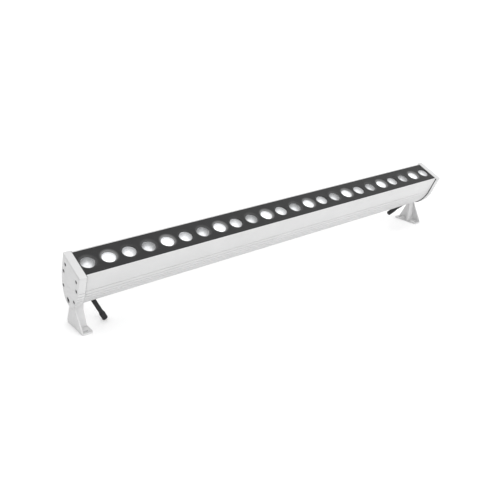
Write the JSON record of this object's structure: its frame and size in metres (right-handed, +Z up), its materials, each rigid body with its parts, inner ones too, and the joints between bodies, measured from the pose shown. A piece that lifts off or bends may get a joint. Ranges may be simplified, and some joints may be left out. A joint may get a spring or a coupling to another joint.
{
  "type": "led strip batten",
  "caption": "Long extruded lamp with a row of round lenses along its top, square-shouldered end caps, two short cables and two low slotted feet on which it tilts.",
  "frame": {"origin": "centre of the four fixing slots, in the plane of the feet's undersides", "axes": "+X along the lamp, -Y is the front towards which the lamp leans at rest, +Z up; the left foot is at -X"},
  "size_m": [1, 0.1108, 0.1626],
  "materials": {
    "grey_paint": "light grey satin powder coat over aluminium",
    "window_panel": "satin black mask with a faint sheen",
    "seal_rubber": "matt black silicone",
    "lens": "clear moulded optic, lit from behind",
    "black_plastic": "fine moulded texture",
    "terminal_plastic": "moulded",
    "circuit_board": "solder mask",
    "led_chip": "phosphor",
    "steel": "turned, bright",
    "dark_steel": "black oxide",
    "capacitor_sleeve": "shrink sleeve",
    "coil_copper": "enamelled winding",
    "cable_rubber": "matt cable jacket",
    "contact_metal": "plated contacts"
  },
  "bodies": {
    "lamp": {"housing": "grey_paint", "window_panel": "window_panel", "window_gasket": "seal_rubber", "lenses": "lens", "lens_holders": "black_plastic", "led_boards": "circuit_board", "leds": "led_chip", "led_board_screws": "steel", "driver_board": "circuit_board", "driver_capacitors": "capacitor_sleeve", "driver_coils": "coil_copper", "driver_terminals": "terminal_plastic", "driver_screws": "steel", "end_cap_left": "grey_paint", "end_cap_right": "grey_paint", "clamp_strip_left": "grey_paint", "clamp_strip_right": "grey_paint", "cap_gasket_left": "seal_rubber", "cap_gasket_right": "seal_rubber", "cap_screws_left": "dark_steel", "cap_screws_right": "dark_steel", "vent_plug": "black_plastic", "gland_left": "black_plastic", "gland_right": "black_plastic", "gland_nut_left": "black_plastic", "gland_nut_right": "black_plastic", "gland_seal_left": "seal_rubber", "gland_seal_right": "seal_rubber", "inner_lead_left": "cable_rubber", "inner_lead_right": "cable_rubber", "cable_left": "cable_rubber", "cable_right": "cable_rubber", "plug_body": "black_plastic", "plug_pins": "contact_metal", "socket_body": "black_plastic", "socket_insert": "black_plastic"},
    "foot_left_body": {"foot_left": "grey_paint", "tilt_screw_left": "dark_steel", "tilt_washer_left": "steel"},
    "foot_right_body": {"foot_right": "grey_paint", "tilt_screw_right": "dark_steel", "tilt_washer_right": "steel"},
    "plug_ring_body": {"plug_ring": "black_plastic"},
    "socket_ring_body": {"socket_ring": "black_plastic"}
  },
  "joints": [
    {"name": "tilt_left", "type": "hinge", "parent": "lamp", "child": "foot_left_body", "pos_m": [-0.48, -0.006, 0.0656], "axis": [1, 0, 0], "range_deg": [-8, 56]},
    {"name": "tilt_right", "type": "hinge", "parent": "lamp", "child": "foot_right_body", "pos_m": [0.48, -0.006, 0.0656], "axis": [1, 0, 0], "range_deg": [-8, 56]},
    {"name": "plug_ring_turn", "type": "hinge", "parent": "lamp", "child": "plug_ring_body", "pos_m": [-0.4333, -0.002, 0.00981], "axis": [0.4003, 0, -0.9164], "continuous": true},
    {"name": "socket_ring_turn", "type": "hinge", "parent": "lamp", "child": "socket_ring_body", "pos_m": [0.41235, 0.003, 0.03936], "axis": [-0.9646, 0, -0.2639], "continuous": true}
  ]
}
